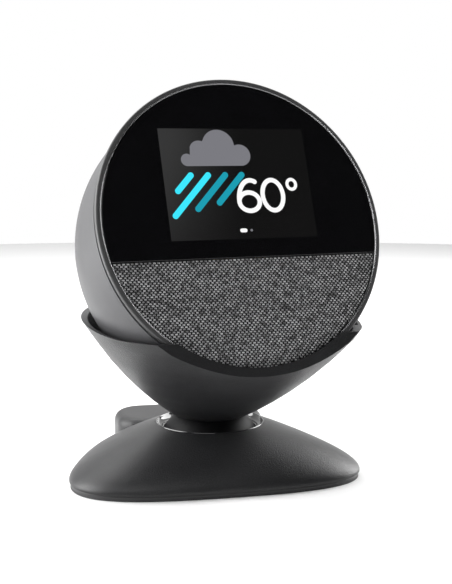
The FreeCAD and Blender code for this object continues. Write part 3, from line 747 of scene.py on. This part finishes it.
def yarn_tube(cloth, row, start, count, radius, across):
    """One yarn: a closed tube of four sides that waves over and under its neighbours."""
    step, sides = cloth.pitch / cloth.steps, YARN_SIDES
    bm = bmesh.new()
    bmesh.ops.create_grid(bm, x_segments=count, y_segments=sides, size=1.0)
    order = sorted(bm.verts, key=lambda v: (round(v.co.x, 6), v.co.y))
    for k, vert in enumerate(order):
        along, side = divmod(k, sides + 1)
        angle = math.tau * (side % sides) / sides
        run, offset = start + along * step, row * cloth.pitch + cloth.half_width * math.cos(angle)
        over = math.cos(math.pi * (run / cloth.pitch + row)) * (1 if across else -1)
        edge = max(0.0, 1.0 - max(0.0, radius - math.hypot(run, offset)) / TUCK_REACH)
        height = cloth.half_height * math.sin(angle) + cloth.wave * over - cloth.middle
        height -= TUCK * edge * edge
        vert.co = (run, offset, height) if across else (offset, run, height)
    bmesh.ops.remove_doubles(bm, verts=bm.verts, dist=1e-8)
    bmesh.ops.holes_fill(bm, edges=[e for e in bm.edges if e.is_boundary], sides=sides)
    bmesh.ops.recalc_face_normals(bm, faces=bm.faces)
    return bm


def yarns(cloth, radius, line, across):
    """One set of the weave's yarns."""
    step = cloth.pitch / cloth.steps
    rows = int(radius / cloth.pitch) + 1
    made = []
    for row in range(-rows, rows + 1):
        start, end = yarn_span(row * cloth.pitch, radius, line, across)
        count = int((end - start) / step)
        if count >= 2:
            made.append(yarn_tube(cloth, row, start, count, radius, across))
    return joined(made)


class DISPLAY_OT_cloth(Operator):
    """Weaves the speaker cloth over its thin black backing"""
    bl_idname = "smart_display.cloth"
    bl_label = "Speaker Cloth"

    def execute(self, context):
        sizes, cloth = context.scene.head_sizes, context.scene.cloth_sizes
        finishes, place = context.scene.display_finishes, face_place(context.scene.head_sizes)
        radius, line = sizes.glass_radius - CLOTH_GAP, -sizes.cloth_line - LINE_GAP
        light = yarn("light_yarn_finish", finishes.light_yarn, 0.35, 1.9)
        dark = yarn("dark_yarn_finish", finishes.dark_yarn, 0.6, 1.8)
        weft = moved(yarns(cloth, radius, line - cloth.half_width, True), place)
        warp = moved(yarns(cloth, radius, line, False), place)
        pieces = [piece(context, "light_yarns", weft, "head", light, sharp=80),
                  piece(context, "dark_yarns", warp, "head", dark, sharp=80)]
        sheet = segment_disc(radius, BACKING_LOW, BACKING_HIGH, line, False)
        black = yarn("cloth_backing_finish", finishes.backing, 0.7, 1.5)
        backing = piece(context, "cloth_backing", moved(sheet, place), "head", black,
                        ["speaker_cloth"])
        return {"FINISHED"}


# --- buttons --------------------------------------------------------------------------------
def button_cap(sizes):
    """A low cap with a domed top, a flange below the shell and a short post under it."""
    crown, radius = sizes.body_radius + sizes.button_proud, sizes.button_radius
    post, post_end = 1.2 * MM, 50.2 * MM
    flange, flange_low, flange_high = 5.4 * MM, 52 * MM, 53.2 * MM
    section = [(0, post_end), (post, post_end), (post, flange_low), (flange, flange_low),
               (flange, flange_high), (radius, flange_high)]
    edge, steps = 0.35 * MM, 6
    dome = math.sqrt(crown ** 2 - radius ** 2)
    section += [(radius, dome - edge), (radius - 0.1 * MM, dome - 0.1 * MM)]
    for k in range(steps + 1):
        r = (radius - edge) * (1 - k / steps)
        section.append((r, math.sqrt(crown ** 2 - r ** 2)))
    return spun(section, steps=72)


def button_marks(sizes):
    """Plain raised marks: a bar, a barred ring and a cross, for down, mute and up."""
    top, arm, half = sizes.body_radius + sizes.button_proud + 0.06 * MM, 1.6 * MM, 0.22 * MM
    bar = [(-arm, 0), (arm, 0)]
    post = [(0, -arm), (0, arm)]
    slash = [(-arm * 0.72, -arm * 0.72), (arm * 0.72, arm * 0.72)]
    ring = ellipse((0, 0), arm, arm, 0, 360, 40)[:-1]
    return {"volume_down": ("minus_mark", [ribbon(bar, half, top)]),
            "mute": ("mute_mark", [ribbon(ring, half, top, True), ribbon(slash, half, top)]),
            "volume_up": ("plus_mark", [ribbon(bar, half, top), ribbon(post, half, top)])}


class DISPLAY_OT_buttons(Operator):
    """Builds the three top buttons with plain raised marks"""
    bl_idname = "smart_display.buttons"
    bl_label = "Buttons"

    def execute(self, context):
        sizes, finishes = context.scene.head_sizes, context.scene.display_finishes
        satin = moulded("button_finish", finishes.rim, 0.42, grain=0.3 * MM, depth=0.006 * MM, contrast=0.08)
        pale = moulded("button_mark_finish", finishes.button_mark, 0.5, grain=0.3 * MM, depth=0.004 * MM)
        marks = button_marks(sizes)
        for step, body in zip((-1, 0, 1), ("volume_down", "mute", "volume_up")):
            place = button_place(sizes, step * sizes.button_turn)
            cap = moved(button_cap(sizes), place)
            piece(context, body + "_cap", cap, body, satin, [body + "_button"])
            name, shapes = marks[body]
            piece(context, name, moved(joined(shapes), place), body, pale)
        return {"FINISHED"}


# --- the stand --------------------------------------------------------------------------------
def gap_space(sizes, stand):
    """The space round the body's sides that the cradle's thin wall leaves open."""
    bm = body_skin(sizes)
    bmesh.ops.holes_fill(bm, edges=[e for e in bm.edges if e.is_boundary])
    share = 1 + stand.gap_width / sizes.body_radius
    centre = Matrix.Translation((0, -sizes.body_drop, -sizes.body_depth))
    moved(bm, centre @ Matrix.Scale(share, 4) @ centre.inverted())
    moved(bm, head_place().inverted() @ face_place(sizes))
    sliced(bm, (0, -stand.gap_front, 0), (0, 1, 0))
    sliced(bm, (0, 0, stand.gap_low), (0, 0, 1))
    return moved(bm, head_place())


class DISPLAY_OT_cradle(Operator):
    """Opens the gap behind the cradle's thin upper wall and gives its skin a fine grain"""
    bl_idname = "smart_display.cradle"
    bl_label = "Cradle"

    def execute(self, context):
        grain = moulded("cradle_finish", context.scene.display_finishes.stand, 0.40, grain=0.5 * MM,
                        depth=0.16 * MM, contrast=0.4, specular=0.38)
        gap = gap_space(context.scene.head_sizes, context.scene.stand_sizes)
        bm = cut_away(context, node_copy("cradle_cup"), gap)
        piece(context, "cradle", bm, "head", grain, ["cradle_cup"], sharp=24)
        return {"FINISHED"}


def skirt_profile(stand):
    """The skirt's section: part of a ball's shell, closed at the top round the neck's stem."""
    outer, low, high = stand.skirt_radius, stand.skirt_low, stand.waist_height
    inner, stem, top, edge = outer - stand.skirt_wall, 6.2 * MM, 1.8 * MM, 0.3 * MM
    angles = [math.degrees(math.asin((z - TILT_HEIGHT) / outer)) for z in (low + edge, high)]
    inside = [math.degrees(math.asin((z - TILT_HEIGHT) / inner)) for z in (high - 2 * MM, low)]
    section = arc((0, TILT_HEIGHT), outer, angles[0], angles[1], 20)
    section += [(stem, high), (stem, high - top)]
    section += arc((0, TILT_HEIGHT), inner, inside[0], inside[1], 14)
    section.append((math.sqrt(outer ** 2 - (low - TILT_HEIGHT) ** 2) - edge, low))
    return section


def collar_profile(stand):
    """The collar's section: a hollow dish from the skirt up to a thin rounded rim."""
    clear, low, mouth, lip = stand.skirt_radius + stand.collar_gap, 14.4 * MM, 17.9 * MM, 0.16 * MM
    heights = [low + (mouth - low) * k / 5 for k in range(6)]
    section = [(math.sqrt(clear ** 2 - (z - TILT_HEIGHT) ** 2), z) for z in heights]
    start, rim = Vector((section[-1][0] + 0.25 * MM, mouth + 0.2 * MM)), stand.collar_radius
    end = Vector((rim, stand.collar_height - 0.12 * MM))
    bend = Vector((rim - 0.35 * MM, mouth + 0.15 * MM))
    wall, steps = rim + stand.collar_wall, 10
    for k in range(steps + 1):
        t = k / steps
        point = start * (1 - t) ** 2 + bend * 2 * t * (1 - t) + end * t * t
        section.append(tuple(point))
    section += arc((rim + lip, stand.collar_height - lip), lip, 150, 30, 4)
    return section + [(wall, stand.collar_height - 0.3 * MM), (wall, low)]


class DISPLAY_OT_neck(Operator):
    """Builds the neck's round skirt and the hollow collar it turns in"""
    bl_idname = "smart_display.neck"
    bl_label = "Neck and Collar"

    def execute(self, context):
        stand, finishes = context.scene.stand_sizes, context.scene.display_finishes
        satin = moulded("skirt_finish", finishes.skirt, 0.55, grain=0.4 * MM, depth=0.006 * MM,
                        specular=0.12)
        skirt = moved(spun(skirt_profile(stand), ring=True), head_place())
        piece(context, "skirt", skirt, "head", satin, ["neck_skirt"])
        gloss = moulded("collar_finish", finishes.collar, 0.08, grain=0.8 * MM, depth=0.002 * MM,
                        specular=0.8)
        collar = spun(collar_profile(stand), ring=True)
        piece(context, "collar", collar, "base", gloss, ["collar_dish"])
        return {"FINISHED"}


def base_point(stand, share, angle):
    """A point of the base's plan: share 0 on the collar's circle, share 1 on the outline."""
    c, s = math.cos(angle), math.sin(angle)
    wide = stand.base_half_width * (1 - stand.base_taper * s)
    deep = stand.base_half_depth * (1 - stand.base_skew * s)
    power = stand.base_power
    reach = (abs(c / wide) ** power + abs(s / deep) ** power) ** (-1 / power)
    inner = stand.collar_radius + stand.collar_wall
    return ((1 - share) * inner * c + share * reach * c,
            (1 - share) * inner * s + share * (stand.base_back + reach * s))


def base_flare(stand, steps=28):
    """Shares and heights from the collar down the flare and round the edge, on one curve."""
    mouth, hollow = (0.003, stand.shell_top), (0.45, 15.3 * MM)
    shoulder, edge = (0.97, 7.6 * MM), (1.0, 2.9 * MM)
    poles = [Vector(pole) for pole in (mouth, hollow, shoulder, edge)]
    out = []
    for k in range(steps + 1):
        t = k / steps
        weights = ((1 - t) ** 3, 3 * t * (1 - t) ** 2, 3 * t * t * (1 - t), t ** 3)
        out.append(tuple(sum((p * w for p, w in zip(poles, weights)), Vector((0, 0)))))
    return out + [(1.0, 2.3 * MM), (0.994, stand.shell_bottom)]


class DISPLAY_OT_base(Operator):
    """Builds the flared base shell, the rear port housing, the foot and the plate under the base"""
    bl_idname = "smart_display.base"
    bl_label = "Base"

    def execute(self, context):
        stand, finishes = context.scene.stand_sizes, context.scene.display_finishes
        grain = moulded("base_finish", finishes.stand, 0.40, grain=0.5 * MM, depth=0.16 * MM, contrast=0.4,
                        specular=0.42)
        flare = base_flare(stand)
        bm = spun([(1 + share, height) for share, height in flare], steps=240)
        for vert in bm.verts:
            share, angle = math.hypot(vert.co.x, vert.co.y) - 1, math.atan2(vert.co.y, vert.co.x)
            vert.co.x, vert.co.y = base_point(stand, share, angle)
        bmesh.ops.solidify(bm, geom=bm.faces[:], thickness=stand.shell_wall)
        bmesh.ops.recalc_face_normals(bm, faces=bm.faces)
        piece(context, "base_cover", bm, "base", grain, ["base_shell"], sharp=40)
        piece(context, "port_cover", node_copy("port_housing"), "base", grain,
              ["port_housing"], sharp=24)
        rubber = moulded("foot_finish", finishes.foot, 0.62, grain=0.4 * MM, depth=0.03 * MM)
        piece(context, "foot", node_copy("foot_mat"), "base", rubber, ["foot_mat"], sharp=24)
        satin = moulded("plate_finish", finishes.under_plate, 0.34, grain=0.4 * MM, depth=0.01 * MM)
        piece(context, "under_plate", node_copy("base_plate"), "base", satin,
              ["base_plate"], sharp=24)
        return {"FINISHED"}


# --- the parts inside -------------------------------------------------------------------------
def slot_finishes():
    """A finish for every slot of the parts that keep the frame's own shapes."""
    black, grey = (0.015, 0.015, 0.016), (0.09, 0.09, 0.095)
    return {
        "grille_plastic": moulded("grille_finish", black, 0.55),
        "frame_plastic": moulded("frame_finish", (0.045, 0.045, 0.05), 0.5),
        "screw_steel": brushed("screw_finish", (0.55, 0.55, 0.56), 0.32),
        "lcd_glass": polished_glass("lcd_finish", (0.02, 0.022, 0.028)),
        "backlight_plastic": moulded("backlight_finish", (0.72, 0.73, 0.74), 0.3, contrast=0.04),
        "ribbon_film": moulded("ribbon_finish", (0.42, 0.20, 0.05), 0.35, contrast=0.15),
        "board_laminate": laminate("board_finish", (0.015, 0.085, 0.045)),
        "can_steel": brushed("can_finish", (0.62, 0.62, 0.60), 0.3, (14, 1, 1)),
        "sink_aluminium": brushed("sink_finish", (0.78, 0.79, 0.80), 0.42, (1, 16, 1)),
        "basket_steel": brushed("basket_finish", (0.16, 0.16, 0.17), 0.45),
        "cone_paper": coarse("cone_finish", (0.035, 0.034, 0.033)),
        "surround_rubber": moulded("surround_finish", (0.012, 0.012, 0.012), 0.7),
        "magnet_metal": brushed("magnet_finish", (0.45, 0.45, 0.47), 0.38),
        "switch_plastic": moulded("switch_finish", (0.12, 0.12, 0.12), 0.5),
        "plate_steel": brushed("latch_finish", (0.5, 0.5, 0.52), 0.4, (1, 10, 1)),
        "pad_rubber": moulded("pad_finish", (0.02, 0.02, 0.021), 0.75, depth=0.05 * MM),
        "contact_brass": brushed("contact_finish", (0.75, 0.55, 0.22), 0.25),
        "button_plastic": moulded("button_part_finish", grey, 0.45),
        "cradle_plastic": moulded("cradle_floor_finish", black, 0.5, depth=0.04 * MM),
        "base_plastic": moulded("base_part_finish", black, 0.5),
        "washer_nylon": moulded("washer_finish", (0.62, 0.60, 0.54), 0.5, contrast=0.08),
        "plate_plastic": moulded("plate_part_finish", black, 0.5),
        "ballast_iron": coarse("ballast_finish", (0.05, 0.048, 0.046)),
    }


class DISPLAY_OT_inner_parts(Operator):
    """Gives every part that keeps its own shape the finish of its slot"""
    bl_idname = "smart_display.inner_parts"
    bl_label = "Inner Parts"

    def execute(self, context):
        finishes = slot_finishes()
        for part in frame["record"]["subparts"]:
            node = frame["nodes"].get(part["node"])
            if node is None or node.hide_render:
                continue
            material = finishes.get(part["material_slot"])
            if material is None:
                raise RuntimeError("no finish for slot " + part["material_slot"])
            for slot in node.material_slots:
                slot.material = material
        return {"FINISHED"}


# --- the stage ------------------------------------------------------------------------------
CAMERA_TURN, CAMERA_RISE = math.radians(12.8), math.radians(7.26)
CAMERA_AWAY, TARGET_ASIDE, TARGET_UP = 450 * MM, 6.44 * MM, 71.66 * MM
LENS = 70.79
FLOOR_RADIUS = 1.1


def toward(turned, risen):
    """A unit vector: turned 0 is to the front, positive to the left; risen above the table."""
    return Vector((-math.sin(turned) * math.cos(risen), -math.cos(turned) * math.cos(risen), math.sin(risen)))


def add_camera(context):
    back = toward(CAMERA_TURN, CAMERA_RISE)
    right = Vector((math.cos(CAMERA_TURN), -math.sin(CAMERA_TURN), 0))
    data = bpy.data.cameras.new("camera")
    data.lens, data.sensor_width = LENS, 36.0
    data.clip_start, data.clip_end = 0.01, 50.0
    camera = bpy.data.objects.new("camera", data)
    camera.rotation_mode = "QUATERNION"
    camera.rotation_quaternion = (-back).to_track_quat("-Z", "Y")
    camera.location = right * TARGET_ASIDE + Vector((0, 0, TARGET_UP)) + back * CAMERA_AWAY
    context.scene.collection.objects.link(camera)
    context.scene.camera = camera


def add_light(context, name, turned, risen, away, wide, tall, power):
    """A soft rectangular light on a sphere round the object, aimed at its middle."""
    data = bpy.data.lights.new(name, "AREA")
    data.shape, data.size, data.size_y, data.energy = "RECTANGLE", wide, tall, power
    light = bpy.data.objects.new(name, data)
    back = toward(math.radians(turned), math.radians(risen))
    light.location = Vector((0, 0, 0.07)) + back * away
    light.rotation_mode = "QUATERNION"
    light.rotation_quaternion = (-back).to_track_quat("-Z", "Y")
    context.scene.collection.objects.link(light)


def add_surroundings(context):
    """A white studio behind the object and a dim one in front; the camera sees it all pale."""
    world = bpy.data.worlds.new("studio")
    world.use_nodes = True
    tree = world.node_tree
    ground = tree.nodes["Background"]
    parts = tree.nodes.new("ShaderNodeSeparateXYZ")
    tree.links.new(tree.nodes.new("ShaderNodeTexCoord").outputs["Generated"], parts.inputs["Vector"])
    behind = add(tree, "MapRange", From_Min=-0.35, From_Max=0.6, To_Min=0.03, To_Max=1.0)
    tree.links.new(parts.outputs["Y"], behind.inputs["Value"])
    ray = tree.nodes.new("ShaderNodeLightPath")
    seen = add(tree, "Math")
    seen.operation = "MAXIMUM"
    tree.links.new(behind.outputs["Result"], seen.inputs[0])
    tree.links.new(ray.outputs["Is Camera Ray"], seen.inputs[1])
    tree.links.new(seen.outputs["Value"], ground.inputs["Strength"])
    ground.inputs["Color"].default_value = (1, 1, 1, 1)
    context.scene.world = world


class DISPLAY_OT_stage(Operator):
    """Sets up the pale floor, the soft studio light and the camera"""
    bl_idname = "smart_display.stage"
    bl_label = "Stage"

    def execute(self, context):
        add_camera(context)
        add_surroundings(context)
        add_light(context, "left_panel", 98, 14, 0.75, 0.7, 0.9, 15.0)
        add_light(context, "right_panel", -108, 16, 0.8, 0.5, 0.8, 10.0)
        add_light(context, "front_panel", 25, 38, 1.2, 0.9, 0.6, 3.6)
        add_light(context, "top_panel", 170, 62, 0.9, 0.8, 0.8, 6.0)
        bm = bmesh.new()
        bmesh.ops.create_circle(bm, cap_ends=True, segments=96, radius=FLOOR_RADIUS)
        floor = bpy.data.objects.new("floor", to_mesh(bm, "floor"))
        material, tree, shader = plain("floor_finish", (0.9, 0.9, 0.9), 0.7, specular=0.2)
        tree.links.new(shade_range(tree, noise(tree, 0.3), (0.9, 0.9, 0.9), 0.99, 1.01),
                       shader.inputs["Base Color"])
        floor.data.materials.append(material)
        context.scene.collection.objects.link(floor)
        context.scene.view_settings.view_transform = "Standard"
        return {"FINISHED"}


# --- the add-on ------------------------------------------------------------------------------
OPERATORS = [DISPLAY_OT_stage, DISPLAY_OT_body, DISPLAY_OT_front, DISPLAY_OT_picture, DISPLAY_OT_cloth,
             DISPLAY_OT_buttons, DISPLAY_OT_cradle, DISPLAY_OT_neck, DISPLAY_OT_base,
             DISPLAY_OT_inner_parts]


class DISPLAY_PT_parts(Panel):
    """Lists the smart display's parts in the sidebar"""
    bl_idname = "DISPLAY_PT_parts"
    bl_label = "Round Smart Display"
    bl_space_type = "VIEW_3D"
    bl_region_type = "UI"
    bl_category = "Display"

    def draw(self, context):
        for operator in OPERATORS:
            self.layout.operator(operator.bl_idname)


def register():
    for group in GROUPS.values():
        bpy.utils.register_class(group)
    for name, group in GROUPS.items():
        setattr(bpy.types.Scene, name, PointerProperty(type=group))
    for cls in OPERATORS + [DISPLAY_PT_parts]:
        bpy.utils.register_class(cls)


def unregister():
    for cls in [DISPLAY_PT_parts] + OPERATORS[::-1]:
        bpy.utils.unregister_class(cls)
    for name in GROUPS:
        delattr(bpy.types.Scene, name)
    for group in list(GROUPS.values())[::-1]:
        bpy.utils.unregister_class(group)


def main():
    register()
    for operator in OPERATORS:
        category, name = operator.bl_idname.split(".")
        getattr(getattr(bpy.ops, category), name)()


if __name__ == "__main__":
    main()
